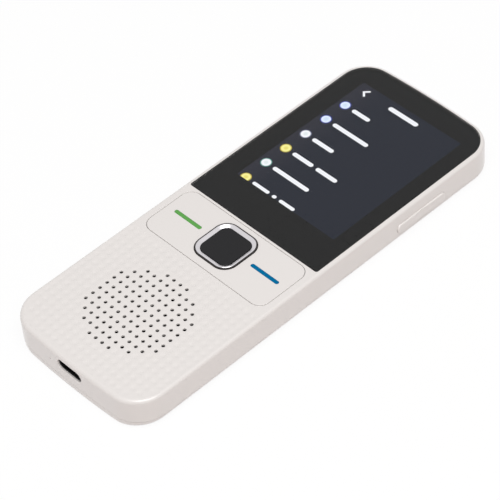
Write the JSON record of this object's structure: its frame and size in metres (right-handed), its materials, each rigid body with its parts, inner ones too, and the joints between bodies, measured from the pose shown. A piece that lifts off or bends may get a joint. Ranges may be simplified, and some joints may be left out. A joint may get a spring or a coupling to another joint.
{
  "type": "handheld translator",
  "caption": "Slim pocket translator with a display window, a rocking key plate with a square centre key, a speaker grille, a side volume rocker and a USB-C port.",
  "frame": {"origin": "centre of the flat rear face", "axes": "+Z out of the front face, +Y to the display end, +X to the side that holds the volume rocker"},
  "size_m": [0.0511, 0.1336, 0.0105],
  "materials": {
    "shell_white": "fine satin texture, warm white",
    "cover_white": "fine satin texture, warm white",
    "lens_glass": "polished, black printed border",
    "adhesive_black": "matt",
    "display_glass": "gloss, lit",
    "backlight_white": "satin",
    "flex_amber": "satin",
    "key_white": "satin gloss",
    "mark_green": "gloss",
    "mark_blue": "gloss",
    "ring_chrome": "satin chrome",
    "cap_black": "matt",
    "switch_steel": "bright",
    "board_green": "solder mask",
    "chip_black": "moulded",
    "ceramic_tan": "matt",
    "shield_steel": "stamped sheet",
    "port_steel": "bright drawn sheet",
    "port_black": "moulded",
    "speaker_black": "moulded",
    "cone_paper": "pressed",
    "magnet_steel": "plated",
    "foam_black": "foam",
    "cloth_black": "fine mesh",
    "mic_gold": "plated",
    "battery_foil": "satin foil",
    "tape_tan": "matt",
    "lead_red": "satin",
    "connector_ivory": "moulded",
    "screw_steel": "zinc"
  },
  "bodies": {
    "housing": {"front_housing": "shell_white", "rear_cover": "cover_white", "cover_lens": "lens_glass", "lens_tape": "adhesive_black", "lcd_panel": "display_glass", "lcd_backlight": "backlight_white", "lcd_flex": "flex_amber", "lcd_connector": "connector_ivory", "left_switch": "switch_steel", "center_switch": "switch_steel", "right_switch": "switch_steel", "main_board": "board_green", "processor": "chip_black", "memory_chip": "chip_black", "power_chip": "chip_black", "chip_capacitors": "ceramic_tan", "rf_shield": "shield_steel", "usb_c_shell": "port_steel", "usb_c_tongue": "port_black", "speaker_frame": "speaker_black", "speaker_cone": "cone_paper", "speaker_magnet": "magnet_steel", "speaker_gasket": "foam_black", "grille_cloth": "cloth_black", "microphone": "mic_gold", "microphone_boot": "foam_black", "battery_cell": "battery_foil", "battery_tape": "tape_tan", "battery_leads": "lead_red", "battery_connector": "connector_ivory", "volume_switches": "switch_steel", "side_board": "board_green", "wifi_antenna": "flex_amber", "cover_screws": "screw_steel"},
    "side_keys": {"key_plate": "key_white", "green_mark": "mark_green", "blue_mark": "mark_blue"},
    "center_key": {"button_ring": "ring_chrome", "center_button": "cap_black"},
    "rocker": {"volume_rocker": "key_white"}
  },
  "joints": [
    {"name": "side_keys_rock", "type": "hinge", "parent": "housing", "child": "side_keys", "pos_m": [0, -0.0121, 0.0081], "axis": [0, 1, 0], "range_deg": [-1, 1], "stiffness_Nm_per_rad": 0.8},
    {"name": "center_key_press", "type": "slide", "parent": "housing", "child": "center_key", "axis": [0, 0, -1], "range_m": [0, 0.0004], "stiffness_N_per_m": 3500, "springref_m": -0.00005},
    {"name": "volume_rock", "type": "hinge", "parent": "housing", "child": "rocker", "pos_m": [0.0232, 0.0355, 0.00475], "axis": [0, 0, 1], "range_deg": [-1, 1], "stiffness_Nm_per_rad": 0.5}
  ]
}
